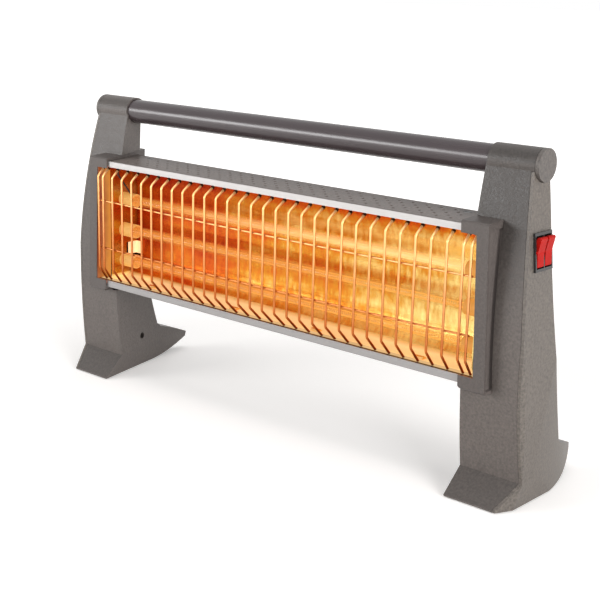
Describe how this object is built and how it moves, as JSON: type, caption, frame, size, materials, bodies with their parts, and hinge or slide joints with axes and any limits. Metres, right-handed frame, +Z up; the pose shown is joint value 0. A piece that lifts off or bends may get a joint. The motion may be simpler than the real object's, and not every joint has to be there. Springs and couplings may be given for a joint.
{
  "type": "electric bar heater",
  "caption": "Portable electric bar heater with quartz tubes before a curved reflector, a wire grille, two moulded legs, a round carrying handle and rocker switches.",
  "frame": {"origin": "centre of the outline's underside, on the floor", "axes": "+Z up, -Y out of the grille to the front, +X to the switch side"},
  "size_m": [0.4928, 0.1298, 0.2594],
  "materials": {
    "leg_plastic": "moulded grey plastic with a fine grain",
    "cover_plastic": "moulded grey plastic with a fine grain",
    "dark_plastic": "smooth dark plastic",
    "handle_paint": "smooth grey paint",
    "housing_paint": "speckled grey enamel",
    "bright_trim": "satin",
    "reflector_sheet": "bright rolled sheet",
    "quartz": "clear quartz",
    "coil": "glowing resistance wire",
    "ceramic": "unglazed white",
    "steel": "plated",
    "grille_steel": "plated wire",
    "brass": "plain",
    "switch_body": "black",
    "rocker_red": "red",
    "insulation": "heat-proof sleeve",
    "block_plastic": "pale",
    "rubber": "black"
  },
  "bodies": {
    "heater": {"leg_shell_left": "leg_plastic", "leg_shell_right": "leg_plastic", "leg_cover_left": "cover_plastic", "leg_cover_right": "cover_plastic", "hub_plug_left": "dark_plastic", "hub_plug_right": "dark_plastic", "handle_tube": "handle_paint", "end_cap_left": "leg_plastic", "end_cap_right": "leg_plastic", "housing_shell": "housing_paint", "top_trim": "bright_trim", "bottom_trim": "bright_trim", "reflector": "reflector_sheet", "reflector_end_left": "reflector_sheet", "reflector_end_right": "reflector_sheet", "reflector_brackets": "steel", "reflector_clips": "steel", "quartz_tube_top": "quartz", "quartz_tube_middle": "quartz", "quartz_tube_bottom": "quartz", "heating_coil_top": "coil", "heating_coil_middle": "coil", "heating_coil_bottom": "coil", "ceramic_caps_left": "ceramic", "ceramic_caps_right": "ceramic", "terminal_studs": "steel", "terminal_nuts": "steel", "grille_wires": "grille_steel", "grille_cross_wires": "grille_steel", "switch_housing": "switch_body", "switch_terminals": "brass", "terminal_block": "block_plastic", "tilt_switch": "dark_plastic", "inlet_bush": "dark_plastic", "cord_clamp": "block_plastic", "leads_right": "insulation", "leads_left": "insulation", "long_leads": "insulation", "cap_lead": "insulation", "foot_pads": "rubber", "cover_screws": "steel", "cap_screws": "steel", "housing_screws": "steel", "clamp_screws": "steel"},
    "front_rocker": {"rocker_front": "rocker_red"},
    "rear_rocker": {"rocker_rear": "rocker_red"}
  },
  "joints": [
    {"name": "rocker_front_tilt", "type": "hinge", "parent": "heater", "child": "front_rocker", "pos_m": [0.23965, -0.0308, 0.18811], "axis": [0, 1, 0], "range_deg": [-22, 0]},
    {"name": "rocker_rear_tilt", "type": "hinge", "parent": "heater", "child": "rear_rocker", "pos_m": [0.23965, -0.0204, 0.18811], "axis": [0, 1, 0], "range_deg": [-22, 0]}
  ]
}
